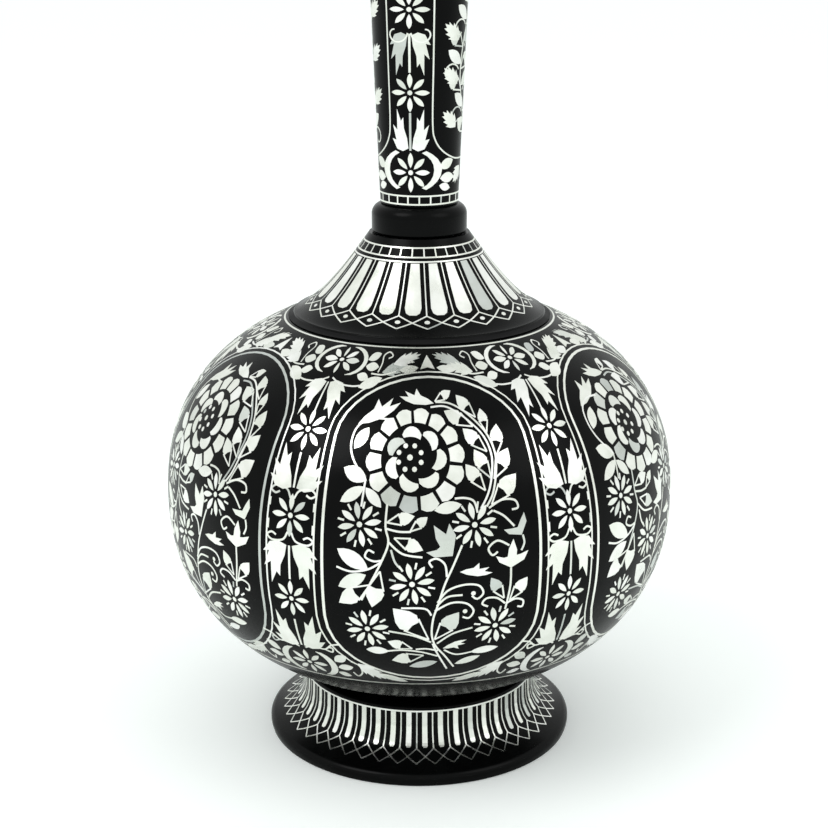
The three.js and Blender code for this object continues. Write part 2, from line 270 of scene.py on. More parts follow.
def black_metal(name, dark, light, rough_low, rough_high):
    material, tree, shader = new_material(name, 0.36, 0.0)
    shader.inputs["Specular IOR Level"].default_value = 0.07
    node = worked(tree, 90.0, 2200.0)
    colour = ramp(tree, node.outputs["Cloud"], [(0.3, dark), (0.75, light)])
    tree.links.new(colour, shader.inputs["Base Color"])
    rough = ramp(tree, node.outputs["Cloud"], [(0.3, (rough_low,) * 3), (0.7, (rough_high,) * 3)])
    tree.links.new(rough, shader.inputs["Roughness"])
    bumped(tree, shader, node.outputs["Marks"], 0.00004)
    return material


def silver_metal():
    material, tree, shader = new_material("burnished_silver", 0.3, 1.0)
    node = worked(tree, 160.0, 1500.0)
    tone = tree.nodes.new("ShaderNodeAttribute")
    tone.attribute_name = "tone"
    base = ramp(tree, tone.outputs["Fac"], [(0.0, (0.55, 0.58, 0.56)), (0.12, (0.84, 0.86, 0.80)),
                                            (0.6, (0.93, 0.94, 0.88)), (1.0, (0.97, 0.975, 0.95))])
    cloud = ramp(tree, node.outputs["Cloud"], [(0.25, (0.86, 0.87, 0.84)), (0.6, (1.0, 1.0, 1.0))])
    mix = tree.nodes.new("ShaderNodeMix")
    mix.data_type = "RGBA"
    mix.blend_type = "MULTIPLY"
    mix.inputs["Factor"].default_value = 1.0
    tree.links.new(base, mix.inputs["A"])
    tree.links.new(cloud, mix.inputs["B"])
    tree.links.new(mix.outputs["Result"], shader.inputs["Base Color"])
    rough = ramp(tree, node.outputs["Cloud"], [(0.3, (0.24,) * 3), (0.7, (0.38,) * 3)])
    tree.links.new(rough, shader.inputs["Roughness"])
    bumped(tree, shader, node.outputs["Marks"], 0.00006)
    return material


BLACK = black_metal("blackened_alloy", (0.0010, 0.0011, 0.0012), (0.0022, 0.0025, 0.0024), 0.2, 0.3)
SOLDER = black_metal("blackened_solder", (0.003, 0.003, 0.0033), (0.009, 0.009, 0.0095), 0.45, 0.6)
SILVER = silver_metal()


# Castings

def build_castings():
    foot_inner = [(r - WALL, max(z - WALL / 2, 1)) for r, z in foot_flank(8)]
    foot = [(FOOT_REST - FOOT_REST_WIDTH, 0), (FOOT_REST - 0.4, 0), (FOOT_REST, 0.3), (FOOT_RIM, 1.4),
            (FOOT_RIM, 2.6), (FOOT_RIM - 0.3, 3.3), *foot_flank(28),
            *round_corner(FOOT_WAIST - 0.8, FOOT_WAIST_HEIGHT - 0.05, 0.75, 10, 75, 4),
            (FOOT_LEDGE, FOOT_HEIGHT), (FOOT_SOCKET, FOOT_HEIGHT), (FOOT_SOCKET, FOOT_HEIGHT - WALL),
            *foot_inner[:0:-1]]
    turned("foot_casting", foot, ["foot"], BLACK)
    lower = globe_quarter(-GLOBE_DOWN, GLOBE_SEAT, 40)
    upper = globe_quarter(GLOBE_UP, globe_radius(GLOBE_TOP), 44)
    inner_low = globe_quarter(-GLOBE_DOWN, 0.0, 20, shrink=WALL)
    inner_high = globe_quarter(GLOBE_UP, GLOBE_MOUTH, 20, shrink=WALL)
    bowl = [(0.0, GLOBE_BOTTOM), (GLOBE_SPIGOT, GLOBE_BOTTOM), (GLOBE_SPIGOT, GLOBE_SEAT_HEIGHT),
            (GLOBE_SEAT, GLOBE_SEAT_HEIGHT), *lower[::-1], *inner_low]
    turned("globe_lower_casting", bowl, ["body_lower"], BLACK, closed=False)
    cover = [*upper, (GLOBE_MOUTH, GLOBE_TOP), *inner_high[::-1]]
    turned("globe_upper_casting", cover, ["body_upper"], BLACK)
    hollow = SHOULDER_SPIGOT - SHOULDER_SPIGOT_WALL
    shoulder = [(hollow, SHOULDER_BOTTOM), (SHOULDER_SPIGOT, SHOULDER_BOTTOM),
                (SHOULDER_SPIGOT, SHOULDER_UNDER), (SHOULDER_RIM - 0.6, SHOULDER_UNDER),
                *round_corner(SHOULDER_RIM - 0.75, SHOULDER_UNDER + 0.75, 0.75, -80, 60, 6),
                *shoulder_flank(40), (SHOULDER_TOP_RADIUS - 0.4, SHOULDER_TOP), (BORE, SHOULDER_TOP),
                (BORE, 150.0), (13.0, 148.0), (19.0, 139.5), (hollow, 133.0)]
    turned("shoulder_casting", shoulder, ["shoulder"], BLACK)
    fillet = [(SHOULDER_RIM - 0.3, SHOULDER_UNDER), (SHOULDER_RIM + 1.5, SHOULDER_UNDER),
              (SHOULDER_RIM + 0.4, SHOULDER_UNDER + 0.45), (SHOULDER_RIM - 0.1, SHOULDER_UNDER + 1.0)]
    turned("shoulder_fillet", fillet, ["shoulder_solder"], SOLDER)
    collar_ring = [(BORE, COLLAR_BOTTOM), (COLLAR - 0.6, COLLAR_BOTTOM),
                   *round_corner(COLLAR - 0.6, COLLAR_BOTTOM + 0.6, 0.6, -80, 0, 4),
                   *round_corner(COLLAR - COLLAR_ROUND, COLLAR_TOP - COLLAR_ROUND, COLLAR_ROUND, 0, 88, 12),
                   (BORE, COLLAR_TOP)]
    turned("collar_ring", collar_ring, ["collar", "collar_solder"], BLACK)
    neck = [(NECK_SPIGOT - NECK_WALL, NECK_SPIGOT_BOTTOM), (NECK_SPIGOT, NECK_SPIGOT_BOTTOM),
            (NECK_SPIGOT, NECK_SHOULDER), (NECK_FOOT - 0.2, NECK_SHOULDER),
            (NECK_FOOT, NECK_BOTTOM), *[(neck_radius(z), z) for z in range(170, 270, 20)],
            (NECK_TOP_RADIUS, NECK_TOP), (MOUTH_BORE, NECK_TOP), (MOUTH_BORE, MOUTH_SOCKET_BOTTOM)]
    turned("neck_tube", neck, ["neck"], BLACK)
    ring = [(MOUTH_BORE, RING_BOTTOM), (RING_RADIUS - 1.6, RING_BOTTOM),
            *round_corner(RING_RADIUS - 2.4, (RING_BOTTOM + RING_TOP) / 2, 2.4, -85, 85, 14),
            (MOUTH_BORE, RING_TOP)]
    turned("mouth_ring_moulding", ring, ["mouth_ring", "mouth_solder"], BLACK)
    outer, inner = [], []
    for i in range(25):
        t = i / 24
        r = CUP_WAIST + (CUP_LIP - 0.2 - CUP_WAIST) * t ** CUP_CURVE
        outer.append((r, CUP_BOTTOM + (CUP_TOP - 1.7 - CUP_BOTTOM) * t))
        inner.append((r - WALL * (0.9 - 0.3 * t), CUP_BOTTOM + (CUP_TOP - 1.2 - CUP_BOTTOM) * t))
    cup = [(MOUTH_SPIGOT - NECK_WALL, MOUTH_SPIGOT_BOTTOM), (MOUTH_SPIGOT, MOUTH_SPIGOT_BOTTOM),
           (MOUTH_SPIGOT, CUP_BOTTOM), *outer, (CUP_LIP - 0.2, CUP_TOP - 0.7),
           (CUP_LIP - 0.7, CUP_TOP - 0.1), (CUP_LIP - 1.4, CUP_TOP), (CUP_LIP - 2.0, CUP_TOP - 0.4),
           *inner[::-1]]
    turned("mouth_cup_casting", cup, ["mouth_cup"], BLACK)


def neck_radius(z):
    return NECK_FOOT + (NECK_TOP_RADIUS - NECK_FOOT) * (z - NECK_BOTTOM) / (NECK_TOP - NECK_BOTTOM)


# Surfaces that silver is laid on, and the paper that it is drawn on

class Surface:
    """A profile that runs upwards, measured by the length along it from a given height."""

    def __init__(self, profile, zero_height=None):
        self.points = profile
        self.lengths = [0.0]
        for (r0, z0), (r1, z1) in zip(profile, profile[1:]):
            self.lengths.append(self.lengths[-1] + math.hypot(r1 - r0, z1 - z0))
        self.zero = 0.0
        if zero_height is not None:
            nearest = min(range(len(profile)), key=lambda i: abs(profile[i][1] - zero_height))
            self.zero = self.lengths[nearest]

    def at(self, along):
        s = along + self.zero
        i = bisect.bisect_left(self.lengths, s, 1, len(self.lengths) - 1)
        (r0, z0), (r1, z1) = self.points[i - 1], self.points[i]
        step = self.lengths[i] - self.lengths[i - 1]
        t = (s - self.lengths[i - 1]) / step
        return r0 + (r1 - r0) * t, z0 + (z1 - z0) * t, (z1 - z0) / step, (r0 - r1) / step


GLOBE_SURFACE = Surface(globe_quarter(-GLOBE_DOWN, GLOBE_SEAT, 160)[::-1]
                        + globe_quarter(GLOBE_UP, globe_radius(GLOBE_TOP), 160)[1:], GLOBE_CENTRE)
SHOULDER_SURFACE = Surface(shoulder_flank(160))
FOOT_SURFACE = Surface(foot_flank(160))
NECK_SURFACE = Surface([(NECK_FOOT, NECK_BOTTOM), (NECK_TOP_RADIUS, NECK_TOP)])


class Paper:
    """Collects flat outlines; each outline is one piece of silver with its own tone."""

    def __init__(self, seed):
        self.pieces = []
        self.random = random.Random(seed)

    def add(self, faces):
        tone = self.random.random()
        self.pieces.append((faces, tone))

    def outline(self, points):
        self.add([points])

    def ribbon(self, path, width, end_width=None):
        """A wire along a path, as one quad for each step."""
        end_width = width if end_width is None else end_width
        sides = []
        count = len(path)
        for i, (x, y) in enumerate(path):
            ax, ay = path[max(i - 1, 0)]
            bx, by = path[min(i + 1, count - 1)]
            if path[0] == path[-1] and i in (0, count - 1):
                ax, ay = path[-2]
                bx, by = path[1]
            length = math.hypot(bx - ax, by - ay) or 1.0
            half = (width + (end_width - width) * i / (count - 1)) / 2
            nx, ny = -(by - ay) / length * half, (bx - ax) / length * half
            sides.append(((x + nx, y + ny), (x - nx, y - ny)))
        self.add([[a[1], b[1], b[0], a[0]] for a, b in zip(sides, sides[1:])])


def smooth_path(points, steps=6):
    """Points on a Catmull-Rom curve through the given ones."""
    ends = [points[0], *points, points[-1]]
    path = []
    for p0, p1, p2, p3 in zip(ends, ends[1:], ends[2:], ends[3:]):
        for i in range(steps):
            t = i / steps
            path.append(tuple(0.5 * (2 * b + (c - a) * t + (2 * a - 5 * b + 4 * c - d) * t * t
                                     + (3 * b - a - 3 * c + d) * t ** 3)
                              for a, b, c, d in zip(p0, p1, p2, p3)))
    path.append(points[-1])
    return path


def along_line(base, tip, shape, mirror=1):
    """Places (along, across) points of a unit shape on the line from base to tip."""
    dx, dy = tip[0] - base[0], tip[1] - base[1]
    return [(base[0] + dx * a - dy * c * mirror, base[1] + dy * a + dx * c * mirror) for a, c in shape]


def almond(width, shoulder=0.5, steps=7):
    """Unit leaf outline, width across, widest at the shoulder."""
    side = []
    for i in range(1, steps):
        t = i / steps
        grow = t / shoulder / 2 if t < shoulder else 0.5 + (t - shoulder) / (1 - shoulder) / 2
        side.append((t, width / 2 * math.sin(math.pi * grow) ** 0.8))
    return [(0, 0), *[(a, -c) for a, c in side], (1, 0), *side[::-1]]


SERRATED_SIDE = [(0.06, 0.10), (0.24, 0.34), (0.47, 0.50), (0.43, 0.33), (0.70, 0.42), (0.64, 0.24),
                 (0.90, 0.24), (0.82, 0.11)]


def serrated(width):
    side = [(a, c * width) for a, c in SERRATED_SIDE]
    return [(0, 0), *[(a, -c) for a, c in side], (1, 0), *side[::-1]]


def leaf(paper, base, tip, width=0.42, shoulder=0.5):
    paper.outline(along_line(base, tip, almond(width, shoulder)))


def toothed_leaf(paper, base, tip, width=0.8):
    paper.outline(along_line(base, tip, serrated(width)))


def bud(paper, base, tip, width=0.5):
    """A drop-shaped leaf held by two wires, with an open black triangle between them."""
    drop = [(0.47, 0), (0.44, 0.3 * width), (0.58, 0.46 * width), (0.74, 0.38 * width), (0.9, 0.16 * width),
            (1, 0), (0.9, -0.16 * width), (0.74, -0.38 * width), (0.58, -0.46 * width), (0.44, -0.3 * width)]
    paper.outline(along_line(base, tip, drop))
    for side in (-1, 1):
        wire = along_line(base, tip, [(0, 0), (0.25, side * 0.2 * width), (0.5, side * 0.4 * width)])
        paper.ribbon(wire, BUD_WIRE)


PETAL_START = 0.24


def daisy(paper, x, y, radius, petals=8, rays=False, stretch=1.0, turn=0.0):
    """Club petals round a bead, and short rays between them on the finer ones."""
    for i in range(petals):
        angle = turn + 2 * math.pi * i / petals
        across = stretch * radius * math.cos(angle)
        up = radius * math.sin(angle)
        base = (x + PETAL_START * across, y + PETAL_START * up)
        leaf(paper, base, (x + across, y + up), 0.27 / (1 - PETAL_START), 0.55)
        if rays:
            middle = angle + math.pi / petals
            ray = (radius * math.cos(middle), radius * math.sin(middle))
            paper.ribbon([(x + ray[0] * k, y + ray[1] * k) for k in (0.72, 1.02)], 0.09 * radius)
    dot(paper, x, y, 0.13 * radius, stretch)


def dot(paper, x, y, radius, stretch=1.0):
    ring = [(x + stretch * radius * math.cos(math.pi * k / 4), y + radius * math.sin(math.pi * k / 4))
            for k in range(8)]
    paper.outline(ring)


def curl(paper, start, centre, turns=0.9, width=0.6, side=1):
    """A tendril: a spiral round its centre that begins at the start point."""
    dx, dy = start[0] - centre[0], start[1] - centre[1]
    radius = math.hypot(dx, dy)
    angle = math.atan2(dy, dx)
    steps = 14
    path = []
    for i in range(steps + 1):
        t = i / steps
        r = radius * (1 - 0.68 * t)
        a = angle + side * 2 * math.pi * turns * t
        path.append((centre[0] + r * math.cos(a), centre[1] + r * math.sin(a)))
    paper.ribbon(path, width, width * 0.8)


def lobed_leaf(paper, base, tip, mirror):
    """A leaf with two small lobes on one side, as the large ones round the flower have."""
    shape = [(0, 0), (0.22, -0.08), (0.55, -0.12), (0.8, -0.08), (1, 0), (0.74, 0.04), (0.88, 0.17),
             (0.58, 0.11), (0.56, 0.3), (0.4, 0.14), (0.18, 0.09)]
    paper.outline(along_line(base, tip, shape, mirror))


def trefoil(paper, base, tips):
    """A small open flower in one piece: a pointed petal to each tip, and a notch between two."""
    points = [base]
    for i, tip in enumerate(tips):
        points += along_line(base, tip, [(0.62, -0.16), (1, 0), (0.66, 0.14)])[::-1]
        if i + 1 < len(tips):
            middle = ((tip[0] + tips[i + 1][0]) / 2, (tip[1] + tips[i + 1][1]) / 2)
            points += along_line(base, middle, [(0.55, 0)])
    paper.outline(points)


def sector_petal(paper, x, y, inner, outer, middle, half_angle, bulge=1.03):
    """A petal of the large flower: a ring sector with a rounded outer edge."""
    points = []
    for k in range(4):
        a = middle - half_angle * 0.9 + 2 * half_angle * 0.9 * k / 3
        points.append((x + inner * math.cos(a), y + inner * math.sin(a)))
    for k in range(5):
        t = 1 - k / 2
        a = middle + half_angle * t
        r = outer * (bulge - (bulge - 0.96) * t * t)
        points.append((x + r * math.cos(a), y + r * math.sin(a)))
    paper.outline(points[::-1])


def whorl_petal(paper, x, y, inner, outer, start, sweep):
    """A crescent of the flower's heart, its tail tucked under the next one."""
    low, high = [], []
    steps = 7
    for k in range(steps + 1):
        t = k / steps
        a = start + sweep * t
        drift = (outer - inner) * 0.35 * t
        thick = (outer - inner) * 0.78 * math.sin(math.pi * (0.12 + 0.8 * t)) ** 0.8
        edge = inner + drift
        low.append((x + edge * math.cos(a), y + edge * math.sin(a)))
        high.append((x + (edge + thick) * math.cos(a), y + (edge + thick) * math.sin(a)))
    paper.outline(high + low[::-1])


def frame_line(paper, half_width, side_top, side_bottom, rise, drop, width):
    """A closed line with straight sides and elliptical ends, round the middle of a panel."""
    steps = 18
    path = []
    for k in range(steps + 1):
        a = math.pi * k / steps
        path.append((half_width * math.cos(a), side_top + rise * math.sin(a)))
    for k in range(1, 10):
        path.append((-half_width, side_top + (side_bottom - side_top) * k / 10))
    for k in range(steps + 1):
        a = math.pi * k / steps
        path.append((-half_width * math.cos(a), side_bottom - drop * math.sin(a)))
    for k in range(1, 10):
        path.append((half_width, side_bottom + (side_top - side_bottom) * k / 10))
    path.append(path[0])
    paper.ribbon([(PANEL_MIDDLE + x, y) for x, y in path], width)


def lay(name, paper, turn, surface, replaced, reference, cell=CELL):
    """Cuts the paper into small cells, gives it thickness and wraps it on the surface at a turn."""
    bm = bmesh.new()
    tone_layer = bm.verts.layers.float.new("tone")
    for faces, tone in paper.pieces:
        for points in faces:
            verts = []
            for x, y in points:
                vert = bm.verts.new((turn * reference + x, y, 0))
                vert[tone_layer] = tone
                verts.append(vert)
            bm.faces.new(verts)
    bmesh.ops.remove_doubles(bm, verts=bm.verts, dist=1e-5)
    bmesh.ops.triangulate(bm, faces=bm.faces)
    for axis in (0, 1):
        values = [v.co[axis] for v in bm.verts]
        line = math.floor(min(values) / cell) * cell + cell
        while line < max(values):
            place = Vector((0, 0, 0))
            normal = Vector((0, 0, 0))
            place[axis] = line
            normal[axis] = 1
            geometry = list(bm.verts) + list(bm.edges) + list(bm.faces)
            bmesh.ops.bisect_plane(bm, geom=geometry, dist=1e-5, plane_co=place, plane_no=normal)
            line += cell
    for face in bm.faces:
        if face.normal.z < 0:
            face.normal_flip()
    base = list(bm.faces)
    raised = bmesh.ops.extrude_face_region(bm, geom=base)
    tops = [item for item in raised["geom"] if isinstance(item, bmesh.types.BMVert)]
    bmesh.ops.translate(bm, verts=tops, vec=(0, 0, 1))
    bmesh.ops.reverse_faces(bm, faces=[f for f in base if f.is_valid])
    for vert in bm.verts:
        x, y, level = vert.co
        radius, height, out_r, out_z = surface.at(y)
        lift = PROUD * (0.7 + 0.6 * vert[tone_layer]) if level > 0.5 else -SUNK
        angle = x / reference
        r = radius + out_r * lift
        vert.co = (r * math.sin(angle) * MM, -r * math.cos(angle) * MM, (height + out_z * lift) * MM)
    bmesh.ops.recalc_face_normals(bm, faces=bm.faces)
    return finish_piece(name, bm, replaced, SILVER)


# Globe ornament, drawn on paper whose x is measured at the widest ring from the front

UPPER_WIRE_AT = 67.2
LOWER_WIRE_AT = -41.4
FLOWER_HEART = (-2.7, 30.9)
FLOWER_MIDDLE = (-1.1, 30.6)


def big_flower(paper):
    x, y = FLOWER_HEART
    for k in range(8):
        a = math.pi * (k + 0.5) / 4
        dot(paper, x + 3.5 * math.cos(a), y + 3.4 * math.sin(a), 0.72)
    dot(paper, x, y, 0.85)
    x, y = FLOWER_MIDDLE
    for k in range(7):
        whorl_petal(paper, x, y, 5.3, 9.2, 2 * math.pi * k / 7 + 0.4, 0.84)
    count = 14
    for k in range(count):
        sector_petal(paper, x, y, 10.0, 14.0, 2 * math.pi * (k + 0.2) / count, math.pi / count * 0.85)
    leaf(paper, (4.0, 17.0), (11.4, 18.4), 0.42)


PANEL_STEMS = [
    [(10.3, -31.5), (7.4, -26.5), (4.5, -22.3), (3.4, -18.2), (3.7, -13.2), (4.9, -9.0), (6.6, -3.2),
     (8.7, 1.8), (11.2, 7.7)],
    [(8.3, -32.3), (4.9, -24.8), (3.7, -21.5)],
    [(3.3, -21.0), (-1.8, -18.6), (-8.4, -17.3)],
    [(4.9, -21.5), (9.1, -18.2), (14.5, -16.5)],
    [(5.3, -26.4), (0.3, -24.6), (-5.0, -24.0), (-9.2, -24.6)],
    [(5.3, -24.2), (2.0, -23.4), (-1.0, -23.6)],
    [(7.0, -24.0), (10.5, -26.0), (15.0, -25.4)],
    [(4.8, -8.2), (7.4, -4.8), (11.6, -3.3), (15.6, -3.7), (17.0, -6.0), (15.4, -7.6), (13.9, -6.6)],
    [(4.1, -10.7), (8.3, -8.4), (12.4, -8.7), (14.5, -11.0), (13.4, -13.2), (11.6, -12.8)],
    [(4.6, -9.2), (7.4, -6.6), (11.4, -6.2)],
    [(7.2, -0.8), (6.7, 2.6), (4.6, 4.3), (2.6, 3.5), (3.4, 1.9)],
    [(3.2, -12.0), (1.4, -9.9), (-4.8, -9.8)],
    [(-8.6, 18.6), (-8.9, 12.7), (-8.1, 8.5), (-9.8, 3.5), (-13.0, -3.2), (-15.4, -8.0)],
    [(-8.7, 12.2), (-5.4, 11.5), (-2.2, 11.5)],
    [(-8.0, 8.6), (-4.4, 5.6), (0.8, 4.7)],
    [(-9.9, 3.2), (-13.4, 1.0), (-18.0, 0.0), (-22.0, 1.0)],
    [(-7.4, 6.6), (-6.4, 3.4), (-5.0, 1.6)],
    [(-9.8, 3.6), (-12.0, 3.3), (-14.2, 4.4), (-13.4, 6.2), (-11.8, 5.6)],
    [(-15.0, 24.6), (-19.2, 29.8), (-20.6, 34.4), (-19.4, 39.0), (-15.0, 41.4), (-9.6, 41.4)],
    [(-15.6, 17.6), (-15.3, 21.0), (-15.0, 24.6)],
    [(3.8, 45.2), (8.4, 45.4), (12.6, 43.4), (16.6, 40.0), (19.8, 36.0), (21.2, 31.0), (20.6, 26.0),
     (19.0, 21.0), (16.6, 17.0)],
    [(5.6, 46.8), (10.0, 46.4), (14.2, 44.2), (18.4, 40.2), (21.2, 36.0), (22.4, 31.0), (21.8, 26.0),
     (20.2, 20.6), (18.2, 17.4)],
    [(9.6, 20.0), (12.4, 20.0), (14.8, 19.0), (15.6, 16.0)],
    [(23.3, -11.6), (24.4, -4.8), (24.5, 0.4)],
    [(23.2, -9.8), (20.8, -7.9), (18.0, -7.7), (16.8, -9.2), (18.4, -10.2)],
    [(23.6, -9.8), (26.0, -8.8), (28.3, -9.6), (28.2, -11.4), (26.8, -11.2)],
    [(18.8, 17.0), (22.6, 18.8), (26.2, 18.4), (27.0, 16.4), (25.2, 16.0)],
    [(20.0, 16.2), (22.8, 14.6), (25.6, 11.6)],
    [(27.9, 9.0), (28.3, 6.8), (27.4, 4.8)],
    [(24.0, 6.6), (20.8, 8.2), (18.3, 6.4), (19.3, 4.4), (20.8, 5.2)],
]

PANEL_BUDS = [
    ((18.4, 41.6), (13.1, 48.9)), ((21.0, 37.0), (20.5, 44.2)), ((22.6, 30.4), (24.7, 39.2)),
    ((21.0, 24.4), (26.6, 32.2)), ((19.6, 17.8), (27.6, 25.2)), ((17.0, 39.0), (8.2, 44.0)),
    ((20.0, 31.8), (13.6, 38.6)), ((20.2, 24.6), (16.2, 32.6)), ((18.2, 21.6), (13.2, 28.8)),
    ((5.4, 47.0), (11.4, 50.4)), ((-8.6, 13.8), (-1.2, 15.6)), ((-2.4, 11.6), (2.2, 15.4)),
    ((-6.6, 9.8), (1.0, 6.6)), ((-13.0, -3.4), (-21.6, -9.4)), ((-10.3, 0.6), (-12.6, -9.9)),
    ((2.6, -20.0), (-7.0, -9.9)), ((4.2, -20.0), (10.6, -11.3)), ((22.8, -8.2), (19.0, -1.9)),
    ((24.4, -9.0), (29.3, -2.9)), ((1.2, -26.0), (-8.0, -28.4)), ((-2.0, -23.4), (-8.8, -20.9)),
]

PANEL_LEAVES = [
    ((-19.4, 32.6), (-15.8, 38.8), 0.5), ((-13.4, 0.9), (-21.8, 6.0), 0.44),
    ((-14.0, -0.6), (-21.6, -4.6), 0.44), ((-14.6, 24.4), (-21.6, 27.4), 0.55),
    ((-15.2, 22.8), (-21.6, 18.4), 0.42), ((-14.8, 22.6), (-10.2, 17.6), 0.42),
    ((-8.6, -24.6), (-15.2, -24.4), 0.42), ((5.3, -28.8), (-3.0, -31.0), 0.34),
    ((10.5, -30.2), (17.8, -27.3), 0.32), ((14.6, -25.4), (22.8, -24.4), 0.32),
]

PANEL_DAISIES = [(-15.9, 12.9), (14.7, 12.9), (-1.9, -2.8), (-14.2, -16.9), (20.9, -16.5)]


def panel_paper(seed):
    paper = Paper(seed)
    frame_line(paper, 32.0, 37.0, -14.5, 20.3, 24.3, 0.5)
    frame_line(paper, 29.6, 36.0, -14.0, 19.4, 23.0, 0.8)
    big_flower(paper)
    for x, y in PANEL_DAISIES:
        daisy(paper, x, y, 6.0, 8, rays=True, turn=0.2)
    for points in PANEL_STEMS:
        paper.ribbon(smooth_path(points), WIRE)
    for base, tip in PANEL_BUDS:
        bud(paper, base, tip)
    for base, tip, width in PANEL_LEAVES:
        leaf(paper, base, tip, width)
    dot(paper, 14.3, -5.9, 0.65)
    dot(paper, 12.2, -11.1, 0.65)
    lobed_leaf(paper, (-19.6, 39.6), (-6.4, 46.6), 1)
    lobed_leaf(paper, (5.0, 46.4), (-7.0, 48.6), -1)
    lobed_leaf(paper, (10.6, 0.4), (19.4, -0.4), 1)
    lobed_leaf(paper, (6.6, -23.4), (13.2, -20.6), -1)
    trefoil(paper, (8.7, 4.9), [(1.8, 6.0), (3.8, 13.2), (7.9, 13.6)])
    trefoil(paper, (24.5, 0.4), [(20.3, 4.0), (25.2, 8.2), (29.4, 4.6)])
    trefoil(paper, (27.6, 9.0), [(22.6, 10.9), (28.6, 14.9)])
    paper.outline([(0.4, 58.2), (3.5, 59.0), (6.6, 58.2), (5.2, 61.2), (3.5, 64.0), (1.8, 61.2)])
    return paper


# Half of a leaf pair: hung from its base, with teeth on the outer side
TOOTHED_HALF = [(0.9, 0.0), (3.6, 0.9), (6.6, 0.2), (9.0, -3.0), (6.9, -2.6), (8.6, -7.4), (6.3, -5.8),
                (6.3, -12.4), (4.4, -8.6), (3.2, -9.8), (3.0, -6.4), (1.5, -3.2)]


def leaf_pair(paper, y, up, scale=0.93):
    for side in (-1, 1):
        points = [(side * px * scale, y + up * -py * scale) for px, py in TOOTHED_HALF]
        paper.outline(points)
    paper.ribbon([(0, y), (0, y + up * 4), (0, y + up * 9.5)], 0.6)


def crescent(paper, centre, reach, span, thick):
    """A C-shaped leaf: an arc of the given reach (across, up) that swells in the middle."""
    outer, inner = [], []
    steps = 10
    x, y = centre
    across, up = reach
    for k in range(steps + 1):
        a = math.radians(span[0] + (span[1] - span[0]) * k / steps)
        swell = thick * math.sin(math.pi * k / steps) ** 0.7 + 0.15
        inner.append((x + across * math.cos(a), y + up * math.sin(a)))
        outer.append((x + (across + swell) * math.cos(a), y + (up + swell) * math.sin(a)))
    paper.outline(outer + inner[::-1])


def strip_paper(seed):
    """The upright band between two panels, mirrored about its stem."""
    paper = Paper(seed)
    for y, radius, stretch in ((60.2, 5.4, 1.6), (36.5, 6.0, 1.1), (13.0, 5.8, 1.0), (-10.5, 5.4, 1.0),
                               (-34.4, 5.8, 1.1)):
        daisy(paper, 0, y, radius, 8, stretch=stretch)
    leaf_pair(paper, 51.6, -1)
    leaf_pair(paper, 20.4, 1)
    leaf_pair(paper, 4.8, -1)
    leaf_pair(paper, -26.6, 1)
    for side in (-1, 1):
        loop = [(0.6, 17.6), (2.0, 19.8), (5.4, 20.4), (7.0, 19.2), (5.6, 18.3), (4.2, 18.9)]
        paper.ribbon(smooth_path([(side * x, y) for x, y in loop]), WIRE)
        paper.ribbon(smooth_path([(side * x, 26.0 - y) for x, y in loop]), WIRE)
        paper.ribbon([(side * 6.9, 14.8), (side * 6.9, 17.0)], WIRE)
        paper.ribbon([(side * 6.9, 8.6), (side * 6.9, 11.2)], WIRE)
        build_strip_top(paper, side)
        build_strip_bottom(paper, side)
    return paper


def mirrored_ribbon(paper, side, points, width=WIRE):
    paper.ribbon(smooth_path([(side * x, y) for x, y in points]), width)


def mirrored_leaf(paper, side, base, tip, width, maker):
    maker(paper, (side * base[0], base[1]), (side * tip[0], tip[1]), width)


def build_strip_top(paper, side):
    arc = (-62, 76) if side > 0 else (104, 242)
    crescent(paper, (0, 60.0), (10.6, 6.0), arc, 1.7)
    mirrored_ribbon(paper, side, [(0.8, 53.2), (5.0, 51.4), (10.0, 51.0), (13.0, 51.4)])
    mirrored_leaf(paper, side, (12.4, 61.2), (17.6, 64.2), 0.6, leaf)
    mirrored_leaf(paper, side, (12.6, 58.6), (18.4, 58.6), 0.6, leaf)
    mirrored_leaf(paper, side, (10.4, 55.2), (15.4, 54.0), 0.6, leaf)
    mirrored_leaf(paper, side, (12.6, 50.8), (21.0, 54.6), 0.42, leaf)
    mirrored_ribbon(paper, side, [(18.6, 56.6), (19.4, 60.0), (19.2, 63.4), (21.4, 65.0), (23.4, 63.4),
                                  (21.6, 62.2)])
    mirrored_ribbon(paper, side, [(16.0, 56.0), (21.0, 55.8), (26.0, 57.2)])
    mirrored_leaf(paper, side, (20.4, 56.6), (30.6, 59.8), 0.5, toothed_leaf)
    mirrored_leaf(paper, side, (24.4, 60.0), (36.6, 64.4), 0.42, toothed_leaf)
    mirrored_leaf(paper, side, (27.4, 57.6), (35.4, 58.8), 0.36, leaf)


def build_strip_bottom(paper, side):
    arc = (-58, 58) if side > 0 else (122, 238)
    crescent(paper, (0, -34.4), (7.4, 6.9), arc, 2.2)
    mirrored_leaf(paper, side, (9.6, -31.6), (13.8, -28.4), 0.6, leaf)
    mirrored_leaf(paper, side, (10.0, -34.6), (15.2, -33.4), 0.55, leaf)
    mirrored_leaf(paper, side, (9.2, -37.4), (13.4, -38.8), 0.55, leaf)
    mirrored_ribbon(paper, side, [(1.0, -27.4), (4.0, -26.2), (7.6, -26.6), (10.0, -24.6), (12.8, -23.8)])
    mirrored_ribbon(paper, side, [(7.6, -26.6), (9.8, -27.4), (10.2, -25.8), (8.8, -25.6)])
    mirrored_ribbon(paper, side, [(15.0, -30.6), (17.4, -32.4), (17.6, -36.0), (15.8, -38.2), (14.6, -36.2)])
    mirrored_leaf(paper, side, (17.0, -31.2), (25.0, -38.6), 0.5, toothed_leaf)
    mirrored_leaf(paper, side, (22.0, -35.4), (32.0, -39.8), 0.26, leaf)


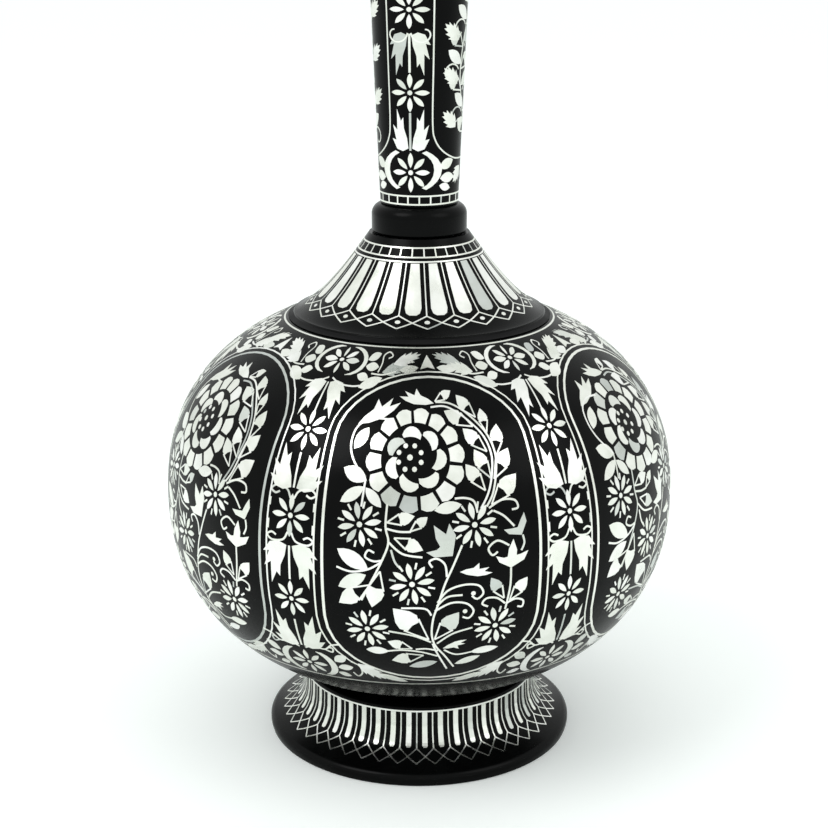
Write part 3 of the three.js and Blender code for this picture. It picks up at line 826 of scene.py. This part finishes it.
def ring_paper(turn_length, along, width, seed):
    paper = Paper(seed)
    steps = 120
    paper.ribbon([(turn_length * k / steps, along) for k in range(steps + 1)], width)
    return paper


def build_globe_silver():
    for i in range(PANELS):
        step = 2 * math.pi * i / PANELS
        lay(f"panel_{i + 1}_silver", panel_paper(10 + i), step, GLOBE_SURFACE, [f"panel_frame_{i + 1}"], GLOBE)
        lay(f"strip_{i + 1}_silver", strip_paper(50 + i), STRIP_TURN + step, GLOBE_SURFACE, [], GLOBE)
    girth = 2 * math.pi * GLOBE
    upper_wire = ring_paper(girth, UPPER_WIRE_AT, 0.55, 3)
    lay("globe_upper_wire_silver", upper_wire, 0, GLOBE_SURFACE, ["globe_wire"], GLOBE)
    lower_wire = ring_paper(girth, LOWER_WIRE_AT, 0.5, 4)
    lay("globe_lower_wire_silver", lower_wire, 0, GLOBE_SURFACE, [], GLOBE)


# Shoulder: ladder band, petals, arch wires, and diamonds with a bead

SHOULDER_PAPER = 36.0


def build_shoulder_silver():
    pitch = 2 * math.pi * SHOULDER_PAPER / PETALS
    petals = Paper(5)
    wires = Paper(6)
    girth = 2 * math.pi * SHOULDER_PAPER
    for k in range(PETALS):
        x = PETAL_TURN * SHOULDER_PAPER + pitch * k
        half = [(-2.3, 24.6), (-2.8, 16.0), (-3.0, 10.6), (-2.4, 8.9), (-1.2, 8.2)]
        petals.outline([(x + px, py) for px, py in half] + [(x - px, py) for px, py in half[::-1]])
        edge = x + pitch / 2
        wires.ribbon([(edge, 25.0), (edge, 16.0), (edge, 8.0)], 0.55, 0.45)
        for side in (-1, 1):
            wires.ribbon([(edge, 8.0), (edge + side * pitch * 0.5, 5.6)], 0.42)
            wires.ribbon([(edge + side * pitch * 0.5, 5.6), (edge, 3.5)], 0.42)
        dot(petals, edge, 5.8, 0.62, 1.5)
    for along in (29.4, 26.5, 25.1):
        wires.ribbon([(girth * k / 96, along) for k in range(97)], 0.45)
    rungs = 32
    for k in range(rungs):
        x = girth * (k + 0.4) / rungs
        wires.ribbon([(x, 29.3), (x, 26.6)], 0.85)
    names = [f"shoulder_petal_{k + 1}" for k in range(PETALS)]
    lay("shoulder_petals_silver", petals, 0, SHOULDER_SURFACE, names, SHOULDER_PAPER, 2.0)
    lay("shoulder_wires_silver", wires, 0, SHOULDER_SURFACE, ["shoulder_wire"], SHOULDER_PAPER, 2.0)


# Foot: bars in wire arches over a row of diamonds

FOOT_PAPER = 40.0
FOOT_BAR_START = 1.8


def build_foot_silver():
    pitch = 2 * math.pi * FOOT_PAPER / FOOT_BARS
    bars = Paper(7)
    wires = Paper(8)
    for k in range(FOOT_BARS):
        x = FOOT_BAR_START + pitch * k
        bars.outline([(x - 0.85, 19.4), (x - 0.85, 9.2), (x - 0.5, 8.6), (x + 0.5, 8.6), (x + 0.85, 9.2),
                      (x + 0.85, 19.4)])
        edge = x + pitch / 2
        wires.ribbon([(edge, 19.6), (edge, 14.0), (edge, 8.4)], 0.42)
        for side in (-1, 1):
            wires.ribbon([(edge, 8.4), (edge + side * pitch / 2, 5.8)], 0.38)
            wires.ribbon([(edge + side * pitch / 2, 5.8), (edge, 3.3)], 0.38)
    girth = 2 * math.pi * FOOT_PAPER
    wires.ribbon([(girth * k / 96, 19.7) for k in range(97)], 0.5)
    lay("foot_bars_silver", bars, 0, FOOT_SURFACE, [], FOOT_PAPER, 2.5)
    lay("foot_wires_silver", wires, 0, FOOT_SURFACE, [], FOOT_PAPER, 2.5)


# Neck: ladder bands at the ends, flowering strips mirrored half way up, and panels of buds on a wavy stem

NECK_PAPER = 12.0
NECK_MIRROR = 54.5
NECK_LEAF = 0.6
NECK_LEAF_RISE = 0.88
NECK_STRIP_TURN = math.radians(-12.0)


def neck_strip(seed):
    paper = Paper(seed)
    for flip in (1, -1):
        def place(y):
            return NECK_MIRROR + flip * (y - NECK_MIRROR)
        for y, radius in ((9.8, 5.6), (32.0, 5.3)):
            daisy(paper, 0, place(y), radius, 8)
        for low, high in ((16.0, 26.5), (37.5, 48.0)):
            paper.ribbon([(0, place(low)), (0, place(high))], 0.6)
        for side in (-1, 1):
            for y, up in ((16.6, flip), (47.6, -flip)):
                paper.outline([(side * px * NECK_LEAF, place(y) - up * py * NECK_LEAF_RISE)
                               for px, py in TOOTHED_HALF])
            curl(paper, (side * 0.4, place(48.2)), (side * 3.6, place(48.2)), 0.7, 0.45, side * flip)
            neck_scroll(paper, side, place, flip)
            paper.ribbon(smooth_path([(side * 6.2, place(y)) for y in (54.5, 40.0, 24.0)]
                                     + [(side * 7.0, place(19.0)), (side * 9.6, place(15.6)),
                                        (side * 14.0, place(13.4)), (side * 18.85, place(12.9))]), 0.42)
    daisy(paper, 0, NECK_MIRROR, 5.2, 8)
    return paper


def neck_scroll(paper, side, place, flip):
    outer, inner = [], []
    for k in range(9):
        a = math.radians(-62 + 124 * k / 8)
        swell = math.sin(math.pi * k / 8)
        outer.append((side * (7.0 + 2.4 * swell) * math.cos(a * 0.8), place(10.4 + 6.2 * math.sin(a))))
        inner.append((side * 6.9 * math.cos(a), place(10.4 + 5.6 * math.sin(a))))
    shape = outer + inner[::-1]
    paper.outline(shape if side * flip > 0 else shape[::-1])
    for base, tip in (((8.6, 11.0), (13.6, 13.0)), ((8.8, 8.0), (14.2, 8.2)), ((8.6, 6.0), (12.6, 5.0))):
        leaf(paper, (side * base[0], place(base[1])), (side * tip[0], place(tip[1])), 0.55)
    toothed_leaf(paper, (side * 18.0, place(10.8)), (side * 14.0, place(6.4)), 0.8)


def neck_panel(seed):
    """Buds and leaves up both sides of a wavy stem."""
    paper = Paper(seed)
    stem = [(3.2 * math.sin(y / 8.0), y) for y in range(20, 90, 3)]
    paper.ribbon(smooth_path(stem, 3), 0.5)
    for k, y in enumerate(range(20, 88, 6)):
        side = 1 if k % 2 else -1
        x = 3.2 * math.sin(y / 8.0)
        bud(paper, (x, y), (x + side * 5.6, y + 4.2), 0.7)
        leaf(paper, (x, y + 1.4), (x - side * 5.2, y + 5.4), 0.5)
        toothed_leaf(paper, (side * 4.6, y + 2.0), (side * 9.6, y + 6.6), 0.7)
        curl(paper, (x - side * 1.0, y), (x - side * 4.0, y - 1.2), 0.8, 0.45, side)
    daisy(paper, 0, 60.0, 4.4, 8)
    return paper


def build_neck_silver():
    for i in range(2):
        turn = NECK_STRIP_TURN + math.pi * i
        lay(f"neck_strip_{i + 1}_silver", neck_strip(70 + i), turn, NECK_SURFACE, [], NECK_PAPER, 2.0)
        lay(f"neck_panel_{i + 1}_silver", neck_panel(80 + i), turn + math.pi / 2,
            NECK_SURFACE, [], NECK_PAPER, 2.0)
    bands = Paper(9)
    girth = 2 * math.pi * NECK_PAPER
    rungs = 22
    for low in (0.7, 2 * NECK_MIRROR - 3.2):
        for along in (low, low + 2.4):
            bands.ribbon([(girth * k / 72, along) for k in range(73)], 0.45)
        for k in range(rungs):
            bands.ribbon([(girth * k / rungs, low), (girth * k / rungs, low + 2.4)], 0.45)
    lay("neck_bands_silver", bands, 0, NECK_SURFACE, [], NECK_PAPER, 2.0)


# Studio

FLOOR_REACH = 30.0
FLOOR_GLOW = 0.11


def build_floor():
    bm = bmesh.new()
    bmesh.ops.create_grid(bm, x_segments=2, y_segments=2, size=FLOOR_REACH)
    mesh = bpy.data.meshes.new("floor")
    bm.to_mesh(mesh)
    bm.free()
    floor = bpy.data.objects.new("floor", mesh)
    bpy.context.scene.collection.objects.link(floor)
    material, tree, shader = new_material("pale_floor", 0.8, 0.0)
    shader.inputs["Base Color"].default_value = (0.945, 0.975, 0.962, 1)
    shader.inputs["Specular IOR Level"].default_value = 0.1
    shader.inputs["Emission Color"].default_value = (0.95, 1.0, 0.98, 1)
    path = tree.nodes.new("ShaderNodeLightPath")
    glow = tree.nodes.new("ShaderNodeMath")
    glow.operation = "MULTIPLY"
    glow.inputs[1].default_value = FLOOR_GLOW
    tree.links.new(path.outputs["Is Camera Ray"], glow.inputs[0])
    tree.links.new(glow.outputs["Value"], shader.inputs["Emission Strength"])
    mesh.materials.append(material)


def build_world():
    world = bpy.data.worlds.new("studio")
    bpy.context.scene.world = world
    world.use_nodes = True
    tree = world.node_tree
    background = tree.nodes["Background"]
    path = tree.nodes.new("ShaderNodeLightPath")
    mix = tree.nodes.new("ShaderNodeMix")
    mix.data_type = "RGBA"
    mix.inputs["A"].default_value = (0.93, 0.955, 0.945, 1)
    mix.inputs["B"].default_value = (0.97, 1.0, 0.985, 1)
    tree.links.new(path.outputs["Is Camera Ray"], mix.inputs["Factor"])
    tree.links.new(mix.outputs["Result"], background.inputs["Color"])
    background.inputs["Strength"].default_value = 1.0


def add_light(name, place, aim, size, power):
    data = bpy.data.lights.new(name, "AREA")
    data.shape = "DISK"
    data.size = size
    data.energy = power
    light = bpy.data.objects.new(name, data)
    light.location = place
    light.rotation_euler = (Vector(aim) - Vector(place)).to_track_quat("-Z", "Y").to_euler()
    bpy.context.scene.collection.objects.link(light)


# The photograph's view: distance, height and pitch fitted to the turned outlines
CAMERA_DISTANCE = 0.494
CAMERA_HEIGHT = 0.24665
CAMERA_PITCH = 16.67
FOCAL_PIXELS = 1728.8
PICTURE_WIDTH = 828
AXIS_PIXEL_X = 419.3


def build_camera():
    data = bpy.data.cameras.new("camera")
    data.sensor_width = 36.0
    data.lens = FOCAL_PIXELS * data.sensor_width / PICTURE_WIDTH
    data.shift_x = (PICTURE_WIDTH / 2 - AXIS_PIXEL_X) / PICTURE_WIDTH
    data.clip_start = 0.01
    camera = bpy.data.objects.new("camera", data)
    camera.location = (0, -CAMERA_DISTANCE, CAMERA_HEIGHT)
    camera.rotation_euler = (math.radians(90 - CAMERA_PITCH), 0, 0)
    bpy.context.scene.collection.objects.link(camera)
    bpy.context.scene.camera = camera


build_camera()
build_castings()
build_globe_silver()
build_shoulder_silver()
build_foot_silver()
build_neck_silver()
for node in ("foot_solder", "seam_solder"):
    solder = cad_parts[node]
    solder.data.materials.clear()
    solder.data.materials.append(SOLDER)
build_floor()
build_world()
add_light("key", (-0.9, -0.7, 1.3), (0, 0, 0.1), 0.9, 7.0)
add_light("fill", (1.0, -0.6, 1.0), (0, 0, 0.1), 0.9, 3.0)
bpy.context.scene.view_settings.view_transform = "Standard"
